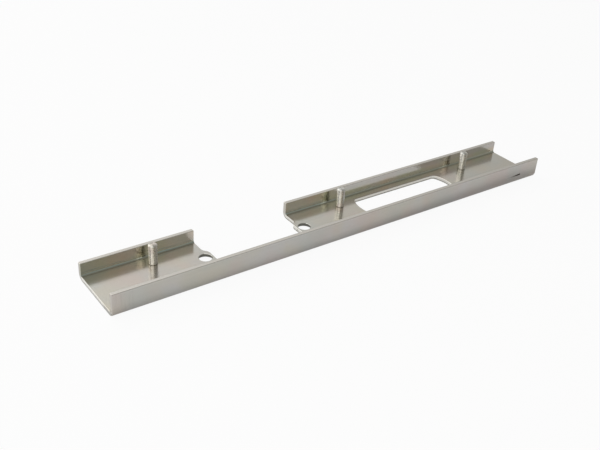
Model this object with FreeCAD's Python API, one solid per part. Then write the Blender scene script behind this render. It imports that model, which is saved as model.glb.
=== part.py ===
"""Door strike plate: a folded channel with a latch notch, a bolt opening and three riveted locating pins.

The plate lies on its web with both flanges up. Fitted in a door frame it is turned over, so that the
flanges and the pins point into the frame. Sizes are in millimetres, X runs along the plate, Y from the
tall front flange to the low rear flange, and Z is up. The origin is the middle of the plate's length
and width, on the web's outer face.
"""
import FreeCAD, Part
import math
import os

# Sheet and folded section
PLATE_LENGTH = 250.0
PLATE_WIDTH = 33.0
SHEET_THICKNESS = 2.0
INNER_BEND_RADIUS = 1.2
OUTER_BEND_RADIUS = INNER_BEND_RADIUS + SHEET_THICKNESS
FRONT_FLANGE_HEIGHT = 11.5
REAR_FLANGE_HEIGHT = 8.15
EDGE_BREAK = 0.15
FRONT_FACE_Y = -PLATE_WIDTH / 2
REAR_FACE_Y = PLATE_WIDTH / 2

# Latch and bolt lie on one centre line, evenly about the middle of the plate
LATCH_TO_BOLT_SPACING = 91.7
NOTCH_CENTRE_X = -LATCH_TO_BOLT_SPACING / 2
OPENING_CENTRE_X = LATCH_TO_BOLT_SPACING / 2
FRONT_FACE_TO_CENTRE_LINE = 17.55
CENTRE_LINE_Y = FRONT_FACE_Y + FRONT_FACE_TO_CENTRE_LINE

# Bolt opening, whose ends bow outwards
OPENING_LENGTH = 59.2
OPENING_WIDTH = 17.6
OPENING_END_RADIUS = 18.0
OPENING_CORNER_RADIUS = 2.0

# Latch notch, open to the rear, with an ear on each side that steps in to carry a screw hole
NOTCH_FRONT_WIDTH = 46.0
NOTCH_FRONT_Y = CENTRE_LINE_Y - OPENING_WIDTH / 2
NOTCH_CORNER_RADIUS = 3.0
EAR_STEP_IN = 2.2
EAR_STEP_RADIUS = 3.3
EAR_STEP_FROM_CENTRE_LINE = 4.75
EAR_STEP_Y = CENTRE_LINE_Y + EAR_STEP_FROM_CENTRE_LINE
NOTCH_REAR_WIDTH = NOTCH_FRONT_WIDTH + 2 * EAR_STEP_IN

# Screw holes in the ears, countersunk from the web's outer face
SCREW_HOLE_RADIUS = 3.0
SCREW_HOLE_TO_NOTCH = 0.9
SCREW_HOLE_SPACING = NOTCH_FRONT_WIDTH + 2 * (SCREW_HOLE_TO_NOTCH + SCREW_HOLE_RADIUS)
COUNTERSINK_DEPTH = 1.0
COUNTERSINK_FLARE = 0.7
COUNTERSINK_RADIUS = SCREW_HOLE_RADIUS + COUNTERSINK_FLARE

# Locating pins, each with a spigot riveted into the web and dressed flush with its outer face
PIN_RADIUS = 2.0
PIN_STAND_UP = 9.7
PIN_TOP_Z = SHEET_THICKNESS + PIN_STAND_UP
PIN_TOP_CHAMFER = 0.4
PIN_SHOULDER = 0.5
SPIGOT_RADIUS = PIN_RADIUS - PIN_SHOULDER
RIVET_HEAD_DEPTH = 0.4
RIVET_HEAD_RADIUS = SPIGOT_RADIUS + RIVET_HEAD_DEPTH
PIN_TO_REAR_FLANGE = 6.0
PIN_LINE_Y = REAR_FACE_Y - SHEET_THICKNESS - PIN_TO_REAR_FLANGE
LEFT_PIN_TO_NOTCH = 23.45
MIDDLE_PIN_TO_OPENING = 8.05
RIGHT_PIN_TO_OPENING = 17.75
PIN_POSITIONS_X = {
    "left": NOTCH_CENTRE_X - NOTCH_REAR_WIDTH / 2 - LEFT_PIN_TO_NOTCH,
    "middle": OPENING_CENTRE_X - OPENING_LENGTH / 2 - MIDDLE_PIN_TO_OPENING,
    "right": OPENING_CENTRE_X + OPENING_LENGTH / 2 + RIGHT_PIN_TO_OPENING,
}

# How far a cutter reaches past the faces that it cuts, and how close two points are to be one point
CUT_OVERRUN = 1.0
SAME_POINT = 1e-6
FULL_TURN = 360

# An edge is sharp where its two faces turn by more than this, in radians
SHARP_TURN = 0.3


def rounded_face(corners):
    """Return a flat face whose outline passes round the corners, each one a point and a rounding radius."""
    edges = []
    first_start = None
    path_end = None
    for index, (corner, radius) in enumerate(corners):
        before = corners[index - 1][0]
        after = corners[(index + 1) % len(corners)][0]
        towards_before = (before - corner).normalize()
        towards_after = (after - corner).normalize()
        half_angle = towards_before.getAngle(towards_after) / 2
        reach = radius / math.tan(half_angle)
        arc_start = corner + towards_before * reach
        arc_end = corner + towards_after * reach
        if path_end is None:
            first_start = arc_start
        elif not path_end.isEqual(arc_start, SAME_POINT):
            edges.append(Part.makeLine(path_end, arc_start))
        if radius > 0:
            inwards = (towards_before + towards_after).normalize()
            arc_middle = corner + inwards * (radius / math.sin(half_angle) - radius)
            edges.append(Part.Arc(arc_start, arc_middle, arc_end).toShape())
        path_end = arc_end
    edges.append(Part.makeLine(path_end, first_start))
    return Part.Face(Part.Wire(edges))


def section_face():
    """Return the folded section at the left end, with two bends and unequal flanges."""
    left_end = -PLATE_LENGTH / 2
    front_inner = FRONT_FACE_Y + SHEET_THICKNESS
    rear_inner = REAR_FACE_Y - SHEET_THICKNESS
    outline = [
        (FRONT_FACE_Y, FRONT_FLANGE_HEIGHT, 0.0),
        (FRONT_FACE_Y, 0.0, OUTER_BEND_RADIUS),
        (REAR_FACE_Y, 0.0, OUTER_BEND_RADIUS),
        (REAR_FACE_Y, REAR_FLANGE_HEIGHT, 0.0),
        (rear_inner, REAR_FLANGE_HEIGHT, 0.0),
        (rear_inner, SHEET_THICKNESS, INNER_BEND_RADIUS),
        (front_inner, SHEET_THICKNESS, INNER_BEND_RADIUS),
        (front_inner, FRONT_FLANGE_HEIGHT, 0.0),
    ]
    return rounded_face([(FreeCAD.Vector(left_end, y, z), radius) for y, z, radius in outline])


def plan_cutter(outline, top):
    """Return a cutter on a plan outline of x, y and rounding radius, from under the web up to a height."""
    corners = [(FreeCAD.Vector(x, y, -CUT_OVERRUN), radius) for x, y, radius in outline]
    return rounded_face(corners).extrude(FreeCAD.Vector(0, 0, top + 2 * CUT_OVERRUN))


def notch_cutter():
    """Return the cutter for the latch notch, whose ears step in with two equal tangent arcs a side."""
    step_turn = math.acos(1 - EAR_STEP_IN / (2 * EAR_STEP_RADIUS))
    corner_offset = EAR_STEP_RADIUS * (math.sin(step_turn) - math.tan(step_turn / 2))
    half_outline = [
        (NOTCH_REAR_WIDTH / 2, REAR_FACE_Y + CUT_OVERRUN, 0.0),
        (NOTCH_REAR_WIDTH / 2, EAR_STEP_Y + corner_offset, EAR_STEP_RADIUS),
        (NOTCH_FRONT_WIDTH / 2, EAR_STEP_Y - corner_offset, EAR_STEP_RADIUS),
        (NOTCH_FRONT_WIDTH / 2, NOTCH_FRONT_Y, NOTCH_CORNER_RADIUS),
    ]
    right_side = [(NOTCH_CENTRE_X + offset, y, radius) for offset, y, radius in half_outline]
    left_side = [(NOTCH_CENTRE_X - offset, y, radius) for offset, y, radius in reversed(half_outline)]
    return plan_cutter(right_side + left_side, REAR_FLANGE_HEIGHT)


def opening_cutter():
    """Return the cutter for the bolt opening, a slot with bowed ends and rounded corners through the web."""
    half_length = OPENING_LENGTH / 2
    half_width = OPENING_WIDTH / 2
    bow = OPENING_END_RADIUS - math.sqrt(OPENING_END_RADIUS ** 2 - half_width ** 2)
    points = {}
    for x_side in (-1, 1):
        for y_side in (-1, 0, 1):
            x = OPENING_CENTRE_X + x_side * (half_length - abs(y_side) * bow)
            y = CENTRE_LINE_Y + y_side * half_width
            points[x_side, y_side] = FreeCAD.Vector(x, y, -CUT_OVERRUN)
    edges = [
        Part.makeLine(points[-1, -1], points[1, -1]),
        Part.Arc(points[1, -1], points[1, 0], points[1, 1]).toShape(),
        Part.makeLine(points[1, 1], points[-1, 1]),
        Part.Arc(points[-1, 1], points[-1, 0], points[-1, -1]).toShape(),
    ]
    slot_height = SHEET_THICKNESS + 2 * CUT_OVERRUN
    slot = Part.Face(Part.Wire(edges)).extrude(FreeCAD.Vector(0, 0, slot_height))
    uprights = [edge for edge in slot.Edges if edge.BoundBox.ZLength > SHEET_THICKNESS]
    return slot.makeFillet(OPENING_CORNER_RADIUS, uprights)


def hole_cutter(x, y, radius):
    """Return the cutter for a round hole straight through the web."""
    length = SHEET_THICKNESS + 2 * CUT_OVERRUN
    return Part.makeCylinder(radius, length, FreeCAD.Vector(x, y, -CUT_OVERRUN), FreeCAD.Vector(0, 0, 1))


def mouth_cutter(x, y, radius, mouth_radius, depth):
    """Return the cutter for the cone that widens a round hole at the web's outer face."""
    return Part.makeCone(mouth_radius, radius, depth, FreeCAD.Vector(x, y, 0), FreeCAD.Vector(0, 0, 1))


def cut_all(solid, cutters):
    """Return the solid after every cutter has been taken from it."""
    for cutter in cutters:
        solid = solid.cut(cutter)
    return solid.Solids[0]


def sharp_edges(solid):
    """Return the edges of a solid where its two faces meet at an angle and don't run smoothly on."""
    edges = []
    for edge in solid.Edges:
        middle = edge.valueAt((edge.FirstParameter + edge.LastParameter) / 2)
        normals = []
        for face in solid.ancestorsOfType(edge, Part.Face):
            normals.append(face.normalAt(*face.Surface.parameter(middle)))
        if normals[0].getAngle(normals[-1]) > SHARP_TURN:
            edges.append(edge)
    return edges


def strike_channel():
    """Return the folded channel: pierced and notched, its cut edges broken, then its holes flared."""
    holes_x = [NOTCH_CENTRE_X + side * SCREW_HOLE_SPACING / 2 for side in (-1, 1)]
    pierced = [notch_cutter(), opening_cutter()]
    for hole_x in holes_x:
        pierced.append(hole_cutter(hole_x, CENTRE_LINE_Y, SCREW_HOLE_RADIUS))
    channel = cut_all(section_face().extrude(FreeCAD.Vector(PLATE_LENGTH, 0, 0)), pierced)
    channel = channel.makeChamfer(EDGE_BREAK, sharp_edges(channel))
    flared = []
    for hole_x in holes_x:
        screw_head = (SCREW_HOLE_RADIUS, COUNTERSINK_RADIUS, COUNTERSINK_DEPTH)
        flared.append(mouth_cutter(hole_x, CENTRE_LINE_Y, *screw_head))
    for pin_x in PIN_POSITIONS_X.values():
        rivet_head = (SPIGOT_RADIUS, RIVET_HEAD_RADIUS, RIVET_HEAD_DEPTH)
        flared.append(hole_cutter(pin_x, PIN_LINE_Y, SPIGOT_RADIUS))
        flared.append(mouth_cutter(pin_x, PIN_LINE_Y, *rivet_head))
    return cut_all(channel, flared)


def locating_pin(pin_x):
    """Return one turned pin: a chamfered shank on the web and a spigot that fills its flared hole."""
    profile = [
        (0.0, 0.0),
        (RIVET_HEAD_RADIUS, 0.0),
        (SPIGOT_RADIUS, RIVET_HEAD_DEPTH),
        (SPIGOT_RADIUS, SHEET_THICKNESS),
        (PIN_RADIUS, SHEET_THICKNESS),
        (PIN_RADIUS, PIN_TOP_Z - PIN_TOP_CHAMFER),
        (PIN_RADIUS - PIN_TOP_CHAMFER, PIN_TOP_Z),
        (0.0, PIN_TOP_Z),
    ]
    half_section = rounded_face([(FreeCAD.Vector(radius, 0, z), 0.0) for radius, z in profile])
    pin = half_section.revolve(FreeCAD.Vector(0, 0, 0), FreeCAD.Vector(0, 0, 1), FULL_TURN)
    pin.translate(FreeCAD.Vector(pin_x, PIN_LINE_Y, 0))
    return pin


def main():
    """Build every piece and write one STEP file for each."""
    os.makedirs("parts", exist_ok=True)
    strike_channel().exportStep("parts/strike_channel.step")
    for place, pin_x in PIN_POSITIONS_X.items():
        locating_pin(pin_x).exportStep("parts/locating_pin_" + place + ".step")


main()
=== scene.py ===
"""Studio scene for a door strike plate: a folded, zinc plated channel with three turned locating pins.

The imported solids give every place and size, in metres. The pins are turned again here with their fine
detail, the channel gets smooth bends, and each piece gets the finish of plated and passivated steel.
"""

import logging
import math
from dataclasses import dataclass, field
from enum import Enum
from typing import Any, Sequence

import bmesh
import bpy
from mathutils import Matrix, Vector


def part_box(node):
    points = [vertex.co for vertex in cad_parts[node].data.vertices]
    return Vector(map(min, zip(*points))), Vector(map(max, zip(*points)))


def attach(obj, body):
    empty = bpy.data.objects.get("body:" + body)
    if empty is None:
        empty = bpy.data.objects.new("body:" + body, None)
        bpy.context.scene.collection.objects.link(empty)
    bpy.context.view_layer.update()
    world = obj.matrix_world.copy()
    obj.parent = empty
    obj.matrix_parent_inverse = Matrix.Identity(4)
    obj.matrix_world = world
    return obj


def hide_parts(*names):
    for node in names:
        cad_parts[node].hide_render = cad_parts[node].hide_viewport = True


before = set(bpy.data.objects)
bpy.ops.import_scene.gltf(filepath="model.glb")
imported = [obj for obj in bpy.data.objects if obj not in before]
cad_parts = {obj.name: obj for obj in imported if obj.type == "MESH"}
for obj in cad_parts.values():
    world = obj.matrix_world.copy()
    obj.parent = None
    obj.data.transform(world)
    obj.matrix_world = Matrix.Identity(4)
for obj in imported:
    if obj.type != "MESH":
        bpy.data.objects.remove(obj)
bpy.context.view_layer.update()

LOG = logging.getLogger("strike_plate")
MM = 0.001
BODY = "root"
Colour = tuple[float, float, float]
Point = tuple[float, float, float]
Centre = tuple[float, float]
Span = tuple[float, float]
Spot = tuple[Any, Any, Any]
Socket = bpy.types.NodeSocket


class Slot(Enum):
    """The record's material slots."""

    SHEET = "plated_sheet"
    PIN = "plated_pin"


class Place(Enum):
    """The three pins, by where they stand along the plate."""

    LEFT = "left"
    MIDDLE = "middle"
    RIGHT = "right"


class Kind(Enum):
    """What a node group's socket carries."""

    NUMBER = "NodeSocketFloat"
    VECTOR = "NodeSocketVector"
    COLOUR = "NodeSocketColor"
    FINISH = "NodeSocketMaterial"
    SHAPE = "NodeSocketGeometry"


class Graph:
    """Adds nodes to one node tree and joins them."""

    def __init__(self, tree: bpy.types.NodeTree) -> None:
        """Keep the tree that the nodes go into."""
        self.tree = tree

    def put(self, socket: Socket, value: Any) -> None:
        """Join a socket to the value, or set it where the value is plain.

        Args:
            socket: the input socket.
            value: another node's output socket, or a number, colour, vector or material.
        """
        if isinstance(value, Socket):
            self.tree.links.new(value, socket)
        elif isinstance(value, (tuple, list)) and len(value) == 3 and socket.type == "RGBA":
            socket.default_value = (*value, 1.0)
        else:
            socket.default_value = value

    def add(self, kind: str, inputs: dict[Any, Any] | None = None, **settings: Any) -> bpy.types.Node:
        """Add one node.

        Args:
            kind: the node's type name.
            inputs: values or sockets by the input's name or number.
            settings: the node's own properties.

        Returns:
            The new node.
        """
        node = self.tree.nodes.new(kind)
        for name, value in settings.items():
            setattr(node, name, value)
        for key, value in (inputs or {}).items():
            self.put(node.inputs[key], value)
        return node

    def math(self, operation: str, *values: Any) -> Socket:
        """Return the result of one Math operation on numbers or sockets."""
        return self.add("ShaderNodeMath", dict(enumerate(values)), operation=operation).outputs[0]

    def vector(self, operation: str, *values: Any) -> Socket:
        """Return the result of one Vector Math operation, a number where it gives a number."""
        node = self.add("ShaderNodeVectorMath", dict(enumerate(values)), operation=operation)
        return node.outputs["Value"] if operation in ("DOT_PRODUCT", "LENGTH") else node.outputs["Vector"]

    def scale(self, vector: Any, factor: Any) -> Socket:
        """Return a vector or colour times a number."""
        node = self.add("ShaderNodeVectorMath", {"Vector": vector, "Scale": factor}, operation="SCALE")
        return node.outputs["Vector"]

    def product(self, *values: Any) -> Socket:
        """Multiply several numbers.

        Args:
            values: the numbers or sockets.

        Returns:
            Their product.
        """
        total = values[0]
        for value in values[1:]:
            total = self.math("MULTIPLY", total, value)
        return total

    def split(self, vector: Any) -> tuple[Socket, ...]:
        """Return the x, y and z of a vector."""
        return tuple(self.add("ShaderNodeSeparateXYZ", {0: vector}).outputs)

    def join(self, x: Any, y: Any, z: Any) -> Socket:
        """Return a vector made of three numbers."""
        return self.add("ShaderNodeCombineXYZ", {0: x, 1: y, 2: z}).outputs[0]

    def ramp(self, value: Any, low: Any, high: Any, to_low: Any = 0.0, to_high: Any = 1.0) -> Socket:
        """Return the value moved smoothly from low..high to to_low..to_high and held at the ends."""
        inputs = {0: value, 1: low, 2: high, 3: to_low, 4: to_high}
        return self.add("ShaderNodeMapRange", inputs, interpolation_type="SMOOTHSTEP").outputs[0]

    def mix(self, factor: Any, first: Any, second: Any) -> Socket:
        """Return a mix of two colours, where the factor is the share of the second."""
        return self.add("ShaderNodeMix", {0: factor, 6: first, 7: second}, data_type="RGBA").outputs[2]

    def blend(self, factor: Any, first: Any, second: Any) -> Socket:
        """Return a mix of two numbers, where the factor is the share of the second."""
        return self.add("ShaderNodeMix", {0: factor, 2: first, 3: second}, data_type="FLOAT").outputs[0]

    def noise(self, vector: Any, scale: Any, detail: float = 2.0, roughness: float = 0.5) -> Socket:
        """Return noise about one half, with so many waves to the metre and so many finer layers."""
        inputs = {"Vector": vector, "Scale": scale, "Detail": detail, "Roughness": roughness}
        return self.add("ShaderNodeTexNoise", inputs).outputs[0]

    def bump(self, height: Any, distance: float, normal: Any = None) -> Socket:
        """Tilt the surface's direction by small heights.

        Args:
            height: the heights, in parts of the distance.
            distance: how high one part is, in metres.
            normal: the direction before, where another bump comes first.

        Returns:
            The tilted direction.
        """
        inputs = {"Height": height, "Distance": distance, "Strength": 1.0}
        if normal is not None:
            inputs["Normal"] = normal
        return self.add("ShaderNodeBump", inputs).outputs[0]


class EffectGroup:
    """A shader node group with named inputs and outputs, built once and placed in several materials."""

    name = "Effect"
    inputs: Sequence[tuple[str, Kind, Any]] = ()
    outputs: Sequence[tuple[str, Kind]] = ()

    def __init__(self) -> None:
        """Build the group's tree."""
        self.tree = bpy.data.node_groups.new(self.name, "ShaderNodeTree")
        for label, kind, value in self.inputs:
            socket = self.tree.interface.new_socket(label, in_out="INPUT", socket_type=kind.value)
            if value is not None:
                socket.default_value = (*value, 1.0) if kind is Kind.COLOUR else value
        for label, kind in self.outputs:
            self.tree.interface.new_socket(label, in_out="OUTPUT", socket_type=kind.value)
        self.graph = Graph(self.tree)
        self.given = self.graph.add("NodeGroupInput").outputs
        self.graph.add("NodeGroupOutput", self.draw())

    def draw(self) -> dict[str, Socket]:
        """Add the group's nodes and return its outputs by name."""
        raise NotImplementedError

    def place(self, graph: Graph, **values: Any) -> Any:
        """Place the group in a graph.

        Args:
            graph: the material's graph.
            values: inputs, with underscores for the spaces in their names.

        Returns:
            The placed group's output sockets by name.
        """
        node = graph.add("ShaderNodeGroup", node_tree=self.tree)
        for key, value in values.items():
            graph.put(node.inputs[key.replace("_", " ").capitalize()], value)
        return node.outputs


class SheetDepth(EffectGroup):
    """How deep a point lies in the folded sheet, from its outer skin, and where a cut edge shows."""

    name = "Sheet depth"
    inputs = (
        ("Place", Kind.VECTOR, None),
        ("Half width", Kind.NUMBER, 0.0165),
        ("Outer bend", Kind.NUMBER, 0.0032),
        ("Thickness", Kind.NUMBER, 0.002),
        ("Soft edge", Kind.NUMBER, 0.0001),
    )
    outputs = (("Depth", Kind.NUMBER), ("Cut", Kind.NUMBER), ("Crease", Kind.NUMBER))
    bend_start: Span = (0.00002, 0.0004)
    skin_fade: Span = (0.0001, 0.0003)

    def draw(self) -> dict[str, Socket]:
        """Measure the depth from the outer skin's two flats and two bends.

        Returns:
            The outputs by name.
        """
        graph, given = self.graph, self.given
        _, y, z = graph.split(given["Place"])
        beside = graph.math("SUBTRACT", graph.math("ABSOLUTE", y), given["Half width"])
        beside = graph.math("ADD", beside, given["Outer bend"])
        below = graph.math("SUBTRACT", given["Outer bend"], z)
        outwards = graph.vector("MAXIMUM", graph.join(beside, below, 0.0), (0.0, 0.0, 0.0))
        inwards = graph.math("MINIMUM", graph.math("MAXIMUM", beside, below), 0.0)
        reach = graph.math("ADD", graph.vector("LENGTH", outwards), inwards)
        depth = graph.math("SUBTRACT", given["Outer bend"], reach)
        twice = graph.math("MULTIPLY", given["Soft edge"], 2.0)
        outer = graph.ramp(depth, given["Soft edge"], twice)
        skin = graph.math("SUBTRACT", given["Thickness"], depth)
        inner = graph.ramp(skin, given["Soft edge"], twice)
        bent = graph.ramp(graph.math("MINIMUM", beside, below), *self.bend_start)
        return {
            "Depth": graph.math("DIVIDE", depth, given["Thickness"]),
            "Cut": graph.product(outer, inner),
            "Crease": graph.product(bent, graph.ramp(skin, *self.skin_fade, 1.0, 0.0)),
        }


class PlatingTint(EffectGroup):
    """Pale straw, rose and blue green tints that drift over plated and passivated steel."""

    name = "Plating tint"
    inputs = (
        ("Place", Kind.VECTOR, None),
        ("Metal", Kind.COLOUR, None),
        ("Straw", Kind.COLOUR, (0.65, 0.61, 0.50)),
        ("Rose", Kind.COLOUR, (0.66, 0.57, 0.53)),
        ("Sea", Kind.COLOUR, (0.59, 0.605, 0.57)),
        ("Patch scale", Kind.NUMBER, 55.0),
        ("Amount", Kind.NUMBER, 0.6),
    )
    outputs = (("Colour", Kind.COLOUR),)
    tints: tuple[str, ...] = ("Straw", "Rose", "Sea")
    apart: Point = (0.31, 0.17, 0.23)
    patch_edge: Span = (0.42, 0.68)

    def draw(self) -> dict[str, Socket]:
        """Lay three soft tints over the metal, each in patches of its own.

        Returns:
            The outputs by name.
        """
        graph, given = self.graph, self.given
        colour = given["Metal"]
        for index, label in enumerate(self.tints):
            moved = graph.vector("ADD", given["Place"], tuple(step * index for step in self.apart))
            drift = graph.noise(moved, given["Patch scale"])
            patch = graph.product(graph.ramp(drift, *self.patch_edge), given["Amount"])
            colour = graph.mix(patch, colour, given[label])
        return {"Colour": colour}


class DrawnLines(EffectGroup):
    """Fine lines that the rolling mill or the lathe leaves in the metal, one way only."""

    name = "Drawn lines"
    inputs = (
        ("Place", Kind.VECTOR, None),
        ("Stretch", Kind.VECTOR, (0.02, 1.0, 1.0)),
        ("Line scale", Kind.NUMBER, 2600.0),
    )
    outputs = (("Lines", Kind.NUMBER),)
    broad_scale: float = 0.22
    fine_share: float = 0.45
    broad_share: float = 0.55

    def draw(self) -> dict[str, Socket]:
        """Read noise that is drawn out along the lines, at two widths.

        Returns:
            The outputs by name.
        """
        graph, given = self.graph, self.given
        drawn = graph.vector("MULTIPLY", given["Place"], given["Stretch"])
        fine = graph.noise(drawn, given["Line scale"], roughness=0.6)
        scale = graph.product(given["Line scale"], self.broad_scale)
        broad = graph.noise(drawn, scale, detail=3.0, roughness=0.6)
        lines = graph.math("ADD", graph.product(fine, self.fine_share), graph.product(broad, self.broad_share))
        return {"Lines": lines}


class CrystalGrain(EffectGroup):
    """The fine grain of the zinc layer and a few brighter specks in it."""

    name = "Crystal grain"
    inputs = (("Place", Kind.VECTOR, None), ("Grain scale", Kind.NUMBER, 1500.0))
    outputs = (("Grain", Kind.NUMBER), ("Specks", Kind.NUMBER))
    speck_scale: float = 0.4
    speck_edge: Span = (0.66, 0.78)

    def draw(self) -> dict[str, Socket]:
        """Read fine noise, and take its highest peaks as specks.

        Returns:
            The outputs by name.
        """
        graph, given = self.graph, self.given
        grain = graph.noise(given["Place"], given["Grain scale"], detail=4.0, roughness=0.65)
        coarse = graph.noise(given["Place"], graph.product(given["Grain scale"], self.speck_scale))
        return {"Grain": grain, "Specks": graph.ramp(coarse, *self.speck_edge)}


class BendBands(EffectGroup):
    """Where the short wall's inner face is, and the thin coloured bands above its bend."""

    name = "Bend bands"
    inputs = (
        ("Place", Kind.VECTOR, None),
        ("Wall face", Kind.NUMBER, 0.0145),
        ("Low band", Kind.NUMBER, 0.0025),
        ("High band", Kind.NUMBER, 0.0036),
        ("Band width", Kind.NUMBER, 0.0004),
    )
    outputs = (("Wall", Kind.NUMBER), ("Bands", Kind.NUMBER))
    wall_fade: Span = (0.0001, 0.0012)
    wander_scale: float = 90.0
    wander_height: float = 0.0012
    patch_scale: float = 55.0
    patch_edge: Span = (0.36, 0.6)
    patch_strength: Span = (0.15, 0.95)
    fade_run: Span = (0.0, 0.03)
    fade: Span = (1.0, 0.3)

    def draw(self) -> dict[str, Socket]:
        """Find the wall by its distance from the middle, and let two bands wander along it.

        Returns:
            The outputs by name.
        """
        graph, given = self.graph, self.given
        x, y, z = graph.split(given["Place"])
        away = graph.math("ABSOLUTE", graph.math("SUBTRACT", y, given["Wall face"]))
        wall = graph.ramp(away, *self.wall_fade, 1.0, 0.0)
        along = graph.join(x, 0.0, 0.0)
        wander = graph.math("SUBTRACT", graph.noise(along, self.wander_scale), 0.5)
        height = graph.math("ADD", z, graph.product(wander, self.wander_height))
        bands = None
        for label in ("Low band", "High band"):
            off = graph.math("ABSOLUTE", graph.math("SUBTRACT", height, given[label]))
            band = graph.ramp(off, 0.0, given["Band width"], 1.0, 0.0)
            bands = graph.math("MAXIMUM", bands, band) if bands else band
        strength = graph.ramp(graph.noise(along, self.patch_scale), *self.patch_edge, *self.patch_strength)
        strength = graph.product(strength, graph.ramp(x, *self.fade_run, *self.fade))
        return {"Wall": wall, "Bands": graph.product(bands, wall, strength)}


class FootRing(EffectGroup):
    """A ring round an upright axis, such as the painted shade in the corner where a pin stands on the sheet.
    """

    name = "Foot ring"
    inputs = (
        ("Place", Kind.VECTOR, None),
        ("Centre", Kind.VECTOR, (0.0, 0.0, 0.0)),
        ("Pin radius", Kind.NUMBER, 0.002),
        ("Spread", Kind.NUMBER, 0.0004),
    )
    outputs = (("Ring", Kind.NUMBER),)
    strongest: float = 0.5

    def draw(self) -> dict[str, Socket]:
        """Fade from the pin's outline outwards.

        Returns:
            The outputs by name.
        """
        graph, given = self.graph, self.given
        x, y, _ = graph.split(graph.vector("SUBTRACT", given["Place"], given["Centre"]))
        away = graph.vector("LENGTH", graph.join(x, y, 0.0))
        far = graph.math("ADD", given["Pin radius"], given["Spread"])
        return {"Ring": graph.ramp(away, given["Pin radius"], far, self.strongest, 0.0)}


class UprightRubs(EffectGroup):
    """Faint upright rub marks on the tall wall's outer face, near its left end."""

    name = "Upright rubs"
    inputs = (
        ("Place", Kind.VECTOR, None),
        ("Left end", Kind.NUMBER, -0.122),
        ("Reach", Kind.NUMBER, 0.016),
        ("Depth of shade", Kind.NUMBER, 0.045),
    )
    outputs = (("Shade", Kind.NUMBER),)
    stretch: Point = (1.0, 1.0, 0.06)
    line_scale: float = 850.0
    line_edge: Span = (0.52, 0.64)
    outer_face: Span = (-0.0164, -0.0162)

    def draw(self) -> dict[str, Socket]:
        """Darken thin upright lines that fade away from the end.

        Returns:
            The outputs by name.
        """
        graph, given = self.graph, self.given
        x, y, _ = graph.split(given["Place"])
        drawn = graph.vector("MULTIPLY", given["Place"], self.stretch)
        lines = graph.noise(drawn, self.line_scale, roughness=0.6)
        reach = graph.math("ADD", given["Left end"], given["Reach"])
        fade = graph.ramp(x, given["Left end"], reach, 1.0, 0.0)
        outer = graph.ramp(y, *self.outer_face, 1.0, 0.0)
        marks = graph.product(graph.ramp(lines, *self.line_edge), graph.product(fade, outer))
        return {"Shade": graph.math("SUBTRACT", 1.0, graph.product(marks, given["Depth of shade"]))}


@dataclass(frozen=True)
class Effects:
    """The shader groups that the finishes share."""

    depth: SheetDepth = field(default_factory=SheetDepth)
    tint: PlatingTint = field(default_factory=PlatingTint)
    lines: DrawnLines = field(default_factory=DrawnLines)
    grain: CrystalGrain = field(default_factory=CrystalGrain)
    bend: BendBands = field(default_factory=BendBands)
    foot: FootRing = field(default_factory=FootRing)
    rub: UprightRubs = field(default_factory=UprightRubs)


@dataclass(frozen=True)
class Nick:
    """A short dark scratch low on the tall flange, near the right end."""

    start: Point = (0.1026, -0.0165, 0.0048)
    end: Point = (0.1118, -0.0165, 0.0052)
    width: float = 0.00034
    width_growth: Span = (0.35, 1.6)
    ragged_scale: float = 1800.0
    dark_from: float = 0.85
    start_depth: float = 0.3
    colour: Colour = (0.055, 0.042, 0.032)
    roughness: float = 0.7
    gouge: float = 12.0

    def mask(self, graph: Graph, place: Any) -> Socket:
        """Draw a mask that grows along the scratch and is widest at its right end.

        Args:
            graph: the material's graph.
            place: where the surface is, in metres.

        Returns:
            The mask.
        """
        run = Vector(self.end) - Vector(self.start)
        length = run.length
        from_start = graph.vector("SUBTRACT", place, self.start)
        along = graph.math("DIVIDE", graph.vector("DOT_PRODUCT", from_start, tuple(run / length)), length)
        held = graph.math("MINIMUM", graph.math("MAXIMUM", along, 0.0), 1.0)
        nearest = graph.scale(tuple(run), held)
        away = graph.vector("LENGTH", graph.vector("SUBTRACT", from_start, nearest))
        ragged = graph.product(graph.noise(place, self.ragged_scale, detail=3.0, roughness=0.6), self.width)
        width = graph.product(graph.ramp(held, 0.0, 1.0, *self.width_growth), self.width)
        depth = graph.ramp(away, graph.math("SUBTRACT", width, ragged), width, 1.0, 0.0)
        return graph.product(depth, graph.ramp(held, 0.0, self.dark_from, self.start_depth, 1.0))


@dataclass(frozen=True)
class BendShade:
    """Painted shade low on the tall wall's outer face, for the mirrored floor shadow, widening to the right
    end.
    """

    level: float = 0.72
    foot: float = 0.0012
    top_run: Span = (-0.03, 0.12)
    tops: Span = (0.006, 0.0105)
    face: Span = (-0.0165, -0.0125)
    growth_run: Span = (-0.1, 0.12)
    growth: Span = (0.6, 1.3)

    def share(self, graph: Graph, spot: Spot, outside: Any) -> Socket:
        """Paint shade onto the skin towards the bend.

        Args:
            graph: the material's graph.
            spot: the surface's x, y and z.
            outside: one on the sheet's outer face, none on its inner face.

        Returns:
            What the skin's colour is multiplied by.
        """
        x, y, z = spot
        low = graph.ramp(z, self.foot, graph.ramp(x, *self.top_run, *self.tops), 1.0, 0.0)
        on_face = graph.ramp(y, *self.face, 1.0, 0.0)
        growth = graph.ramp(x, *self.growth_run, *self.growth)
        return graph.blend(graph.product(on_face, low, outside, growth), 1.0, self.level)


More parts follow.
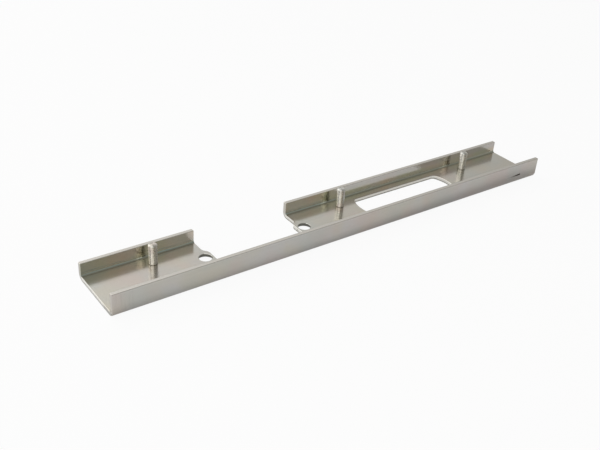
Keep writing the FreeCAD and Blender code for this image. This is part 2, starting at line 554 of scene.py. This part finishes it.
@dataclass(frozen=True)
class CutEdge:
    """The sheared edges: a polished band and a torn one, with a ragged line between them."""

    groups: Effects
    burnished: Colour = (0.69, 0.66, 0.605)
    # The sheared web edges' bright colour is partly the real burnished band and partly painted highlight.
    sheared: Colour = (0.93, 0.91, 0.86)
    torn: Colour = (0.47, 0.46, 0.42)
    tear_line: float = 0.38
    tear_softness: float = 0.06
    tear_scale: float = 900.0
    tear_wander: float = 0.22
    lip: Span = (0.84, 0.92)
    web_top: Span = (0.0018, 0.0026)
    front_shade_run: Span = (-0.0095, -0.0065)
    front_shade: Span = (0.6, 1.0)
    half_length: float = 0.12495
    end_fade: float = 0.0002
    hole_centres: tuple[Centre, ...] = ((-0.07275, 0.00105), (-0.01895, 0.00105))
    hole_radius: float = 0.0037
    hole_fade: float = 0.0003
    hole_strength: float = 2.0
    hole_wall_shade: Colour = (0.22, 0.215, 0.185)

    def draw(self, graph: Graph, place: Any, spot: Spot, depth: Any, skin: Any) -> tuple[Socket, Socket]:
        """Draw the edges. The walls' plated ends keep the faces' colour, and the holes' walls get a dark
        painted shade.

        Args:
            graph: the material's graph.
            place: where the surface is, in metres.
            spot: its x, y and z.
            depth: how deep the point lies in the sheet, from none to one.
            skin: the colour of the sheet's faces.

        Returns:
            The edge's colour, and where it is polished.
        """
        x, y, z = spot
        in_web = graph.ramp(z, *self.web_top, 1.0, 0.0)
        ragged = graph.noise(place, self.tear_scale, detail=3.0, roughness=0.6)
        ragged = graph.math("SUBTRACT", graph.product(ragged, self.tear_wander), self.tear_wander / 2)
        tear = graph.math("ADD", depth, ragged)
        on_wall = graph.ramp(tear, *self.lip, 1.0, 0.0)
        on_web = graph.ramp(tear, self.tear_line - self.tear_softness, self.tear_line + self.tear_softness)
        polish = graph.blend(in_web, on_wall, on_web)

        # Painted shade: the sheared web edges darken towards the tall front wall.
        sheared = graph.scale(self.sheared, graph.ramp(y, *self.front_shade_run, *self.front_shade))
        edge = graph.mix(polish, self.torn, graph.mix(in_web, self.burnished, sheared))
        at_end = graph.ramp(graph.math("ABSOLUTE", x), self.half_length - self.end_fade, self.half_length)
        at_end = graph.product(at_end, graph.math("SUBTRACT", 1.0, in_web))
        edge = graph.mix(at_end, edge, skin)
        # Painted shade: the screw holes' walls take a dark colour in place of the shadowed floor they would
        # mirror.
        bore = 0.0
        for centre in self.hole_centres:
            size = {"pin_radius": self.hole_radius, "spread": self.hole_fade}
            near = self.groups.foot.place(graph, place=place, centre=(*centre, 0.0), **size)
            bore = graph.math("ADD", bore, graph.product(near["Ring"], self.hole_strength))
        return graph.mix(bore, edge, self.hole_wall_shade), polish


@dataclass(frozen=True)
class SheetFinish:
    """Rolled steel sheet, zinc plated, with pale passivation tints and two toned cut edges."""

    groups: Effects
    nick: Nick = field(default_factory=Nick)
    bend_shade: BendShade = field(default_factory=BendShade)
    outside: Colour = (0.645, 0.63, 0.61)
    inside: Colour = (0.63, 0.60, 0.53)
    skin_range: Span = (0.05, 0.9)
    wall_straw: Colour = (0.66, 0.60, 0.43)
    wall_rose: Colour = (0.68, 0.56, 0.47)
    wall_sea: Colour = (0.56, 0.60, 0.47)
    wall_patches: float = 75.0
    pale_zinc: Colour = (0.625, 0.60, 0.585)
    pale_heights: Span = (0.0042, 0.0065)
    pale_run: Span = (0.0, 0.02)
    pale_amount: Span = (0.0, 0.75)
    band_colour: Colour = (0.30, 0.41, 0.40)
    band_amount: float = 0.85
    crease_shade: Colour = (0.43, 0.43, 0.35)
    uneven: Span = (0.3, 0.7)
    shade_range: Span = (0.97, 1.03)
    pin_centres: tuple[Centre, ...] = ()
    foot_heights: Span = (0.001, 0.0018)
    foot_shade_colour: Colour = (0.16, 0.15, 0.12)
    foot_amount: float = 0.6
    skin_roughness: Span = (0.205, 0.155)
    edge_roughness: Span = (0.5, 0.22)
    relief: float = 0.0000007
    torn_scale: float = 2500.0
    torn_relief: float = 6.0

    def tinted(self, graph: Graph, place: Any, spot: Spot, depth: Any, inside: Any) -> Socket:
        """Tint the plating, deeper on the short wall, which also has its bands, and paint shade into the inner
        bends.

        Args:
            graph: the material's graph.
            place: where the surface is, in metres.
            spot: its x, y and z.
            depth: the sheet depth group's outputs.
            inside: one on the sheet's inner face, none on its outer face.

        Returns:
            The plating's colour.
        """
        metal = graph.mix(inside, self.outside, self.inside)
        tint = self.groups.tint.place(graph, place=place, metal=metal)["Colour"]
        bend = self.groups.bend.place(graph, place=place)
        wall = self.groups.tint.place(
            graph,
            place=place,
            metal=self.inside,
            straw=self.wall_straw,
            rose=self.wall_rose,
            sea=self.wall_sea,
            patch_scale=self.wall_patches,
        )["Colour"]
        along = graph.ramp(spot[0], *self.pale_run, *self.pale_amount)
        pale = graph.product(graph.ramp(spot[2], *self.pale_heights), along)
        wall = graph.mix(pale, wall, self.pale_zinc)
        tint = graph.mix(bend["Wall"], tint, wall)
        # Painted shade: the inner bends take a darker olive colour.
        tint = graph.mix(depth["Crease"], tint, self.crease_shade)
        return graph.mix(graph.product(bend["Bands"], self.band_amount), tint, self.band_colour)

    def paint_foot_shade(self, graph: Graph, place: Any, spot: Spot, colour: Any) -> Socket:
        """Paint shade into the corner round each pin's foot.

        Args:
            graph: the material's graph.
            place: where the surface is, in metres.
            spot: its x, y and z.
            colour: the colour before the painted shade.

        Returns:
            The darkened colour.
        """
        # Painted shade: a dark ring on the sheet round each pin's foot.
        on_top = graph.ramp(spot[2], *self.foot_heights, 0.0, self.foot_amount)
        for centre in self.pin_centres:
            ring = self.groups.foot.place(graph, place=place, centre=(*centre, 0.0))["Ring"]
            colour = graph.mix(graph.product(ring, on_top), colour, self.foot_shade_colour)
        return colour

    def material(self) -> bpy.types.Material:
        """Make the finish.

        Returns:
            The material.
        """
        material, graph, surface = blank_material("Plated sheet")
        place = graph.add("ShaderNodeTexCoord").outputs["Object"]
        spot = graph.split(place)
        depth = self.groups.depth.place(graph, place=place)
        inside = graph.ramp(depth["Depth"], *self.skin_range)
        lines = self.groups.lines.place(graph, place=place)["Lines"]
        half_grain = graph.product(self.groups.grain.place(graph, place=place)["Grain"], 0.5)

        shade = graph.math("ADD", graph.product(lines, 0.5), half_grain)
        shade = graph.ramp(shade, *self.uneven, *self.shade_range)
        shade = graph.product(shade, self.groups.rub.place(graph, place=place)["Shade"])
        outside = graph.math("SUBTRACT", 1.0, inside)
        # Painted shade low on the tall wall's outer face.
        shade = graph.product(shade, self.bend_shade.share(graph, spot, outside))
        skin = graph.scale(self.tinted(graph, place, spot, depth, inside), shade)

        edge, polish = CutEdge(self.groups).draw(graph, place, spot, depth["Depth"], skin)
        colour = self.paint_foot_shade(graph, place, spot, graph.mix(depth["Cut"], skin, edge))
        scratch = self.nick.mask(graph, place)
        graph.put(surface.inputs["Base Color"], graph.mix(scratch, colour, self.nick.colour))
        surface.inputs["Metallic"].default_value = 1.0

        rough = graph.ramp(shade, *self.shade_range, *self.skin_roughness)
        rough = graph.blend(depth["Cut"], rough, graph.ramp(polish, 0.0, 1.0, *self.edge_roughness))
        graph.put(surface.inputs["Roughness"], graph.blend(scratch, rough, self.nick.roughness))

        torn = graph.noise(place, self.torn_scale, detail=4.0, roughness=0.6)
        torn = graph.product(torn, graph.math("SUBTRACT", 1.0, polish), self.torn_relief)
        height = graph.blend(depth["Cut"], graph.math("ADD", lines, half_grain), torn)
        height = graph.math("SUBTRACT", height, graph.product(scratch, self.nick.gouge))
        graph.put(surface.inputs["Normal"], graph.bump(height, self.relief))
        return material


@dataclass(frozen=True)
class PinFinish:
    """Turned steel, zinc plated, with fine rings round the pin and across its top."""

    groups: Effects
    centre: Point = (0.0, 0.0, 0.0)
    metal: Colour = (0.76, 0.75, 0.70)
    tint_patches: float = 210.0
    ring_scale: float = 5200.0
    ring_spread: float = 1.0
    ring_relief: float = 0.0000006
    uneven: Span = (0.3, 0.7)
    shade_range: Span = (0.92, 1.05)
    roughness: Span = (0.32, 0.24)
    grain_scale: float = 2200.0
    blotches: float = 0.1
    blotch_colour: Colour = (0.3, 0.28, 0.22)
    blotch_relief: float = 4.0
    pits: float = 0.0
    pit_scale: float = 1300.0
    foot_start: Span = (0.001, 0.0018)
    foot_end: Span = (0.0021, 0.0024)
    foot_amount: float = 0.35
    foot_shade_colour: Colour = (0.12, 0.11, 0.09)

    def material(self) -> bpy.types.Material:
        """Make the finish for the pin at this centre.

        Returns:
            The material.
        """
        material, graph, surface = blank_material("Plated pin")
        place = graph.add("ShaderNodeTexCoord").outputs["Object"]
        x, y, z = graph.split(graph.vector("SUBTRACT", place, self.centre))
        outwards = graph.join(x, y, 0.0)
        turned = graph.join(0.0, graph.vector("LENGTH", outwards), z)
        across_rings = graph.vector("ADD", graph.vector("NORMALIZE", outwards), (0.0, 0.0, 1.0))
        graph.put(surface.inputs["Tangent"], across_rings)
        surface.inputs["Anisotropic"].default_value = self.ring_spread
        surface.inputs["Metallic"].default_value = 1.0

        even = (1.0, 1.0, 1.0)
        rings = self.groups.lines.place(graph, place=turned, stretch=even, line_scale=self.ring_scale)["Lines"]
        grain = self.groups.grain.place(graph, place=place, grain_scale=self.grain_scale)
        tint = self.groups.tint.place(graph, place=place, patch_scale=self.tint_patches, metal=self.metal)
        skin = graph.scale(tint["Colour"], graph.ramp(rings, *self.uneven, *self.shade_range))
        blotch = graph.product(grain["Specks"], self.blotches)
        colour = graph.mix(blotch, skin, self.blotch_colour)
        # Painted shade: the pin darkens in its foot groove and seat, just above the sheet.
        corner = graph.ramp(z, *self.foot_end, self.foot_amount, 0.0)
        corner = graph.product(corner, graph.ramp(z, *self.foot_start))
        graph.put(surface.inputs["Base Color"], graph.mix(corner, colour, self.foot_shade_colour))
        rough = graph.math("ADD", graph.ramp(rings, *self.uneven, *self.roughness), blotch)
        graph.put(surface.inputs["Roughness"], rough)

        spots = graph.product(grain["Grain"], graph.product(blotch, self.blotch_relief))
        pitted = graph.bump(graph.noise(place, self.pit_scale), self.pits)
        relief = graph.bump(graph.math("ADD", rings, spots), self.ring_relief, pitted)
        graph.put(surface.inputs["Normal"], relief)
        return material


def blank_material(name: str) -> tuple[bpy.types.Material, Graph, bpy.types.Node]:
    """Start a material with one Principled surface.

    Args:
        name: the material's name.

    Returns:
        The material, its graph and its surface node.
    """
    material = bpy.data.materials.new(name)
    material.use_nodes = True
    material.node_tree.nodes.clear()
    graph = Graph(material.node_tree)
    surface = graph.add("ShaderNodeBsdfPrincipled")
    graph.add("ShaderNodeOutputMaterial", {"Surface": surface.outputs[0]})
    return material, graph, surface


def add_object(name: str, data: Any) -> bpy.types.Object:
    """Put a mesh, lamp or camera into the scene.

    Args:
        name: the object's name.
        data: what it shows.

    Returns:
        The object.
    """
    made = bpy.data.objects.new(name, data)
    bpy.context.scene.collection.objects.link(made)
    return made


def middle(node: str) -> Centre:
    """Return the x and y of the middle of a node's box."""
    low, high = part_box(node)
    return (low[0] + high[0]) / 2, (low[1] + high[1]) / 2


@dataclass
class StrikeChannel:
    """The folded channel, taken from its solid with its bends shaded smooth."""

    node: str = "strike_channel"
    merge_distance: float = 0.000001
    smooth_below: float = math.radians(25)
    flat_weight: int = 100

    def build(self) -> bpy.types.Object:
        """Copy the solid's mesh, close its seams and smooth its bends.

        Returns:
            The channel's visible piece.
        """
        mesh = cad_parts[self.node].data.copy()
        mesh.name = "folded_channel"
        mesh.materials.clear()
        shape = bmesh.new()
        shape.from_mesh(mesh)
        bmesh.ops.remove_doubles(shape, verts=shape.verts, dist=self.merge_distance)
        bmesh.ops.dissolve_degenerate(shape, edges=shape.edges, dist=self.merge_distance)
        shape.to_mesh(mesh)
        shape.free()
        mesh.shade_smooth()
        mesh.set_sharp_from_angle(angle=self.smooth_below)
        piece = add_object("folded_channel", mesh)
        weigh = piece.modifiers.new("Flats keep flat", "WEIGHTED_NORMAL")
        weigh.keep_sharp = True
        weigh.weight = self.flat_weight
        return piece

    def dress(self, piece: bpy.types.Object, finish: SheetFinish) -> None:
        """Give the channel its finish and tie it to the frame.

        Args:
            piece: the channel's visible piece.
            finish: the sheet's finish.
        """
        piece.data.materials.append(finish.material())
        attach(piece, BODY)
        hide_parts(self.node)


@dataclass
class LatheTree:
    """A Geometry Nodes tree that turns a stepped outline of radii and heights into a closed solid."""

    name: str = "Turned pin"
    segments: int = 72
    merge_distance: float = 0.000001
    shank_pull: float = 0.35
    chamfer_in: float = 1.2
    chamfer_up: float = 0.85
    top_drop: float = 0.3
    sizes: tuple[str, ...] = (
        "Pin radius",
        "Seat height",
        "Top height",
        "Top chamfer",
        "Spigot radius",
        "Rivet depth",
        "Rivet recess",
        "Foot groove",
        "Edge rounding",
    )

    def __post_init__(self) -> None:
        """Build the tree."""
        self.tree = bpy.data.node_groups.new(self.name, "GeometryNodeTree")
        face = self.tree.interface
        kinds = {label: Kind.NUMBER for label in self.sizes} | {"Stand": Kind.VECTOR, "Finish": Kind.FINISH}
        for label, kind in kinds.items():
            face.new_socket(label, in_out="INPUT", socket_type=kind.value)
        face.new_socket("Geometry", in_out="OUTPUT", socket_type=Kind.SHAPE.value)
        self.draw(Graph(self.tree))

    def stations(self, graph: Graph, given: Any) -> list[tuple[Any, Any]]:
        """Lay out the pin's outline, from the rivet's face up to the top.

        Args:
            graph: the tree's graph.
            given: the tree's input sockets by name.

        Returns:
            The radius and height at each station.
        """
        pin, seat, top, chamfer, spigot, rivet, recess, groove, rounding = (given[n] for n in self.sizes)
        head = graph.math("ADD", spigot, rivet)
        neck = graph.math("SUBTRACT", pin, groove)
        seat_edge = graph.math("ADD", seat, groove)
        shank_top = graph.math("SUBTRACT", top, chamfer)
        top_edge = graph.math("SUBTRACT", pin, chamfer)
        return [
            (0.0, recess),
            (graph.math("SUBTRACT", head, rounding), recess),
            (head, graph.math("ADD", recess, rounding)),
            (spigot, rivet),
            (spigot, seat),
            (neck, seat),
            (neck, seat_edge),
            (pin, graph.math("ADD", seat_edge, rounding)),
            (pin, graph.math("SUBTRACT", shank_top, rounding)),
            (graph.math("SUBTRACT", pin, graph.product(rounding, self.shank_pull)), shank_top),
            (
                graph.math("SUBTRACT", pin, graph.product(rounding, self.chamfer_in)),
                graph.math("ADD", shank_top, graph.product(rounding, self.chamfer_up)),
            ),
            (graph.math("ADD", top_edge, rounding), graph.math("SUBTRACT", top, rounding)),
            (top_edge, graph.math("SUBTRACT", top, graph.product(rounding, self.top_drop))),
            (graph.math("SUBTRACT", top_edge, rounding), top),
            (0.0, top),
        ]

    def pick(self, graph: Graph, index: Any, values: Sequence[Any]) -> Socket:
        """Pick one of several values.

        Args:
            graph: the tree's graph.
            index: which value is wanted.
            values: numbers or sockets, in order.

        Returns:
            The value at the index.
        """
        node = graph.add("GeometryNodeIndexSwitch", data_type="FLOAT")
        while len(node.index_switch_items) < len(values):
            node.index_switch_items.new()
        graph.put(node.inputs[0], index)
        for number, value in enumerate(values):
            graph.put(node.inputs[1 + number], value)
        return node.outputs[0]

    def draw(self, graph: Graph) -> None:
        """Bend a grid round the axis, move it to its stand and close its seam and poles.

        Args:
            graph: the tree's graph.
        """
        given = graph.add("NodeGroupInput").outputs
        outline = self.stations(graph, given)
        columns = self.segments + 1
        grid = graph.add("GeometryNodeMeshGrid", {"Vertices X": len(outline), "Vertices Y": columns})
        index = graph.add("GeometryNodeInputIndex").outputs[0]
        station = graph.math("FLOOR", graph.math("DIVIDE", graph.math("ADD", index, 0.5), float(columns)))
        turn = graph.math("SUBTRACT", index, graph.product(station, float(columns)))
        angle = graph.product(turn, math.tau / self.segments)
        radius = self.pick(graph, station, [r for r, _ in outline])
        height = self.pick(graph, station, [h for _, h in outline])
        x = graph.product(radius, graph.math("COSINE", angle))
        y = graph.product(radius, graph.math("SINE", angle))
        turned = graph.add("GeometryNodeSetPosition", {"Geometry": grid.outputs["Mesh"]})
        graph.put(turned.inputs["Position"], graph.vector("ADD", graph.join(x, y, height), given["Stand"]))
        merge = {"Geometry": turned.outputs[0], "Distance": self.merge_distance}
        closed = graph.add("GeometryNodeMergeByDistance", merge)
        real = graph.add("GeometryNodeRealizeInstances", {"Geometry": closed.outputs[0]})
        done = graph.add("GeometryNodeSetMaterial", {"Geometry": real.outputs[0], "Material": given["Finish"]})
        graph.add("NodeGroupOutput", {"Geometry": done.outputs[0]})

    def make(self, name: str, values: dict[str, Any]) -> bpy.types.Object:
        """Run the tree and return its result as a plain mesh object.

        Args:
            name: the new object's name.
            values: the tree's inputs by name.

        Returns:
            The object, with no modifier left on it.
        """
        host = add_object(name, bpy.data.meshes.new(name))
        modifier = host.modifiers.new("Lathe", "NODES")
        modifier.node_group = self.tree
        for item in self.tree.interface.items_tree:
            if item.item_type == "SOCKET" and item.in_out == "INPUT":
                modifier[item.identifier] = values[item.name]
        host.update_tag()
        graph = bpy.context.evaluated_depsgraph_get()
        mesh = bpy.data.meshes.new_from_object(host.evaluated_get(graph), depsgraph=graph)
        host.modifiers.remove(modifier)
        host.data = mesh
        mesh.name = name
        return host


@dataclass
class LocatingPins:
    """The three turned pins that stand on the web, each riveted through it."""

    radius: float = 2.0 * MM
    top_chamfer: float = 0.4 * MM
    spigot_radius: float = 1.5 * MM
    rivet_depth: float = 0.4 * MM
    rivet_recess: float = 0.02 * MM
    foot_groove: float = 0.2 * MM
    edge_rounding: float = 0.08 * MM
    seat_height: float = 2.0 * MM
    clearance: float = 0.001 * MM
    smooth_below: float = math.radians(28)
    blotches: dict[Place, float] = field(
        default_factory=lambda: {Place.LEFT: 0.05, Place.MIDDLE: 0.08, Place.RIGHT: 0.5}
    )
    pits: dict[Place, float] = field(
        default_factory=lambda: {Place.LEFT: 0.000001, Place.MIDDLE: 0.000001, Place.RIGHT: 0.00005}
    )

    def build(self, groups: Effects) -> list[bpy.types.Object]:
        """Turn each pin where its solid stands.

        Args:
            groups: the shader groups for the finish.

        Returns:
            The three visible pins.
        """
        lathe = LatheTree()
        pins = []
        for place in Place:
            node = "locating_pin_" + place.value
            centre = (*middle(node), 0.0)
            finish = PinFinish(groups, centre=centre, blotches=self.blotches[place], pits=self.pits[place])
            values = {
                "Pin radius": self.radius,
                "Seat height": self.seat_height,
                "Top height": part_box(node)[1][2] - self.clearance,
                "Top chamfer": self.top_chamfer,
                "Spigot radius": self.spigot_radius,
                "Rivet depth": self.rivet_depth,
                "Rivet recess": self.rivet_recess,
                "Foot groove": self.foot_groove,
                "Edge rounding": self.edge_rounding,
                "Stand": centre,
                "Finish": finish.material(),
            }
            pin = lathe.make("turned_pin_" + place.value, values)
            self.finish_mesh(pin.data)
            self.dress(pin, node)
            pins.append(pin)
        return pins

    def finish_mesh(self, mesh: bpy.types.Mesh) -> None:
        """Point the faces outwards and smooth the round ones.

        Args:
            mesh: the pin's mesh.
        """
        shape = bmesh.new()
        shape.from_mesh(mesh)
        bmesh.ops.recalc_face_normals(shape, faces=shape.faces)
        shape.to_mesh(mesh)
        shape.free()
        mesh.shade_smooth()
        mesh.set_sharp_from_angle(angle=self.smooth_below)

    def dress(self, pin: bpy.types.Object, node: str) -> None:
        """Tie a pin to the frame in place of its solid.

        Args:
            pin: the visible pin.
            node: the solid that it stands for.
        """
        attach(pin, BODY)
        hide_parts(node)


def aim(azimuth: float, elevation: float) -> Vector:
    """Return the direction at degrees from the rear towards the right end, and above the floor."""
    turn, lift = math.radians(azimuth), math.radians(elevation)
    return Vector((math.sin(turn) * math.cos(lift), math.cos(turn) * math.cos(lift), math.sin(lift)))


@dataclass(frozen=True)
class SkyPatch:
    """A soft round patch of the studio's walls that is lighter or darker than the rest."""

    azimuth: float
    elevation: float
    outer_angle: float
    inner_angle: float
    level: float

    def share(self, graph: Graph, direction: Any) -> Socket:
        """Lighten or darken one part of the sky.

        Args:
            graph: the world's graph.
            direction: where the light comes from.

        Returns:
            What the light is multiplied by.
        """
        facing = graph.vector("DOT_PRODUCT", direction, tuple(aim(self.azimuth, self.elevation)))
        outer = math.cos(math.radians(self.outer_angle))
        inner = math.cos(math.radians(self.inner_angle))
        return graph.ramp(facing, outer, inner, 1.0, self.level)


@dataclass(frozen=True)
class Softbox:
    """One soft studio lamp, aimed at the plate."""

    name: str
    azimuth: float
    distance: float
    width: float
    height: float
    radiance: float
    elevation: float = 36.0

    def build(self) -> None:
        """Hang the lamp and turn it to the plate."""
        data = bpy.data.lights.new(self.name, "AREA")
        data.shape = "RECTANGLE"
        data.size = self.width
        data.size_y = self.height
        data.energy = self.radiance * math.pi * self.width * self.height
        lamp = add_object(self.name, data)
        away = aim(self.azimuth, self.elevation)
        lamp.location = away * self.distance
        lamp.rotation_euler = away.to_track_quat("Z", "Y").to_euler()


@dataclass
class Studio:
    """A white floor, soft light all round and the camera."""

    floor_size: float = 12.0
    floor_drop: float = 0.0001
    floor_colour: Colour = (0.73, 0.73, 0.73)
    white_share: float = 0.93
    mirrored_share: float = 0.2
    sky_low: Colour = (0.44, 0.435, 0.42)
    sky_high: Colour = (0.93, 0.93, 0.93)
    sky_towards: Point = (-0.25, 0.85, 0.45)
    sky_range: Span = (0.17, 1.1)
    patches: tuple[SkyPatch, ...] = (
        SkyPatch(azimuth=93.0, elevation=66.0, outer_angle=45.0, inner_angle=20.0, level=0.7),
        SkyPatch(azimuth=143.0, elevation=31.0, outer_angle=16.0, inner_angle=4.0, level=1.27),
        SkyPatch(azimuth=240.0, elevation=38.0, outer_angle=62.0, inner_angle=30.0, level=0.4),
        SkyPatch(azimuth=320.0, elevation=40.0, outer_angle=42.0, inner_angle=22.0, level=0.38),
    )
    lamps: tuple[Softbox, ...] = (
        Softbox("Front left softbox", azimuth=232.0, distance=1.0, width=1.0, height=1.25, radiance=1.3),
        Softbox("Left softbox", azimuth=320.0, distance=0.85, width=1.15, height=1.15, radiance=1.25),
    )
    eye: Point = (-0.230545, -0.268271, 0.207815)
    right: Point = (0.811638, -0.580537, 0.064964)
    forward: Point = (0.525846, 0.677648, -0.514081)
    focal_length: float = 50.54
    sensor_width: float = 36.0
    clip: Span = (0.005, 50.0)

    def build(self) -> None:
        """Build the floor, the light and the camera."""
        self.build_floor()
        self.build_sky()
        for lamp in self.lamps:
            lamp.build()
        self.build_camera()

    def build_floor(self) -> None:
        """Lay a white floor that still takes the plate's shadow."""
        half = self.floor_size / 2
        corners = [(-half, -half), (half, -half), (half, half), (-half, half)]
        mesh = bpy.data.meshes.new("white_floor")
        mesh.from_pydata([(x, y, -self.floor_drop) for x, y in corners], [], [(0, 1, 2, 3)])
        floor = add_object("white_floor", mesh)
        material = bpy.data.materials.new("White floor")
        material.use_nodes = True
        material.node_tree.nodes.clear()
        graph = Graph(material.node_tree)
        paper = graph.add("ShaderNodeBsdfDiffuse", {"Color": self.floor_colour})
        glow = graph.add("ShaderNodeEmission", {"Color": (1.0, 1.0, 1.0), "Strength": 1.0})
        layers = {0: self.whitened(graph), 1: paper.outputs[0], 2: glow.outputs[0]}
        both = graph.add("ShaderNodeMixShader", layers)
        graph.add("ShaderNodeOutputMaterial", {"Surface": both.outputs[0]})
        mesh.materials.append(material)

    def whitened(self, graph: Graph) -> Socket:
        """Find the rays that see the floor whiter: from the camera, and by way of metal or glass.

        Args:
            graph: the graph it goes into.

        Returns:
            How white the floor is made.
        """
        path = graph.add("ShaderNodeLightPath").outputs
        mirrored = graph.math("MAXIMUM", path["Is Glossy Ray"], path["Is Transmission Ray"])
        mirrored = graph.product(mirrored, self.mirrored_share)
        return graph.math("MAXIMUM", graph.product(path["Is Camera Ray"], self.white_share), mirrored)

    def build_sky(self) -> None:
        """Light the plate softly from all round, more from behind it."""
        world = bpy.data.worlds.new("Studio")
        bpy.context.scene.world = world
        world.use_nodes = True
        world.node_tree.nodes.clear()
        graph = Graph(world.node_tree)
        direction = graph.add("ShaderNodeTexCoord").outputs["Generated"]
        towards = tuple(Vector(self.sky_towards).normalized())
        side = graph.ramp(graph.vector("DOT_PRODUCT", direction, towards), *self.sky_range)
        colour = graph.mix(side, self.sky_low, self.sky_high)
        for patch in self.patches:
            colour = graph.scale(colour, patch.share(graph, direction))
        shade = graph.add("ShaderNodeBackground", {"Color": colour, "Strength": 1.0})
        graph.add("ShaderNodeOutputWorld", {"Surface": shade.outputs[0]})

    def build_camera(self) -> None:
        """Stand the camera where the photograph was taken from."""
        data = bpy.data.cameras.new("Camera")
        data.sensor_fit = "HORIZONTAL"
        data.sensor_width = self.sensor_width
        data.lens = self.focal_length
        data.clip_start, data.clip_end = self.clip
        camera = add_object("Camera", data)
        right = Vector(self.right).normalized()
        back = -Vector(self.forward).normalized()
        up = back.cross(right).normalized()
        turn = Matrix((right, up, back)).transposed().to_4x4()
        camera.matrix_world = Matrix.Translation(Vector(self.eye)) @ turn
        bpy.context.scene.camera = camera


def main() -> None:
    """Build the studio, the channel and the pins, and dress them."""
    logging.basicConfig(level=logging.INFO, format="%(name)s: %(message)s")
    scene = bpy.context.scene
    scene.view_settings.view_transform = "Standard"
    Studio().build()
    LOG.info("studio built")
    groups = Effects()
    channel = StrikeChannel()
    piece = channel.build()
    feet = tuple(middle("locating_pin_" + place.value) for place in Place)
    channel.dress(piece, SheetFinish(groups, pin_centres=feet))
    LOG.info("%s: %d faces", piece.name, len(piece.data.polygons))
    for pin in LocatingPins().build(groups):
        LOG.info("%s: %d faces", pin.name, len(pin.data.polygons))


if __name__ == "__main__":
    main()
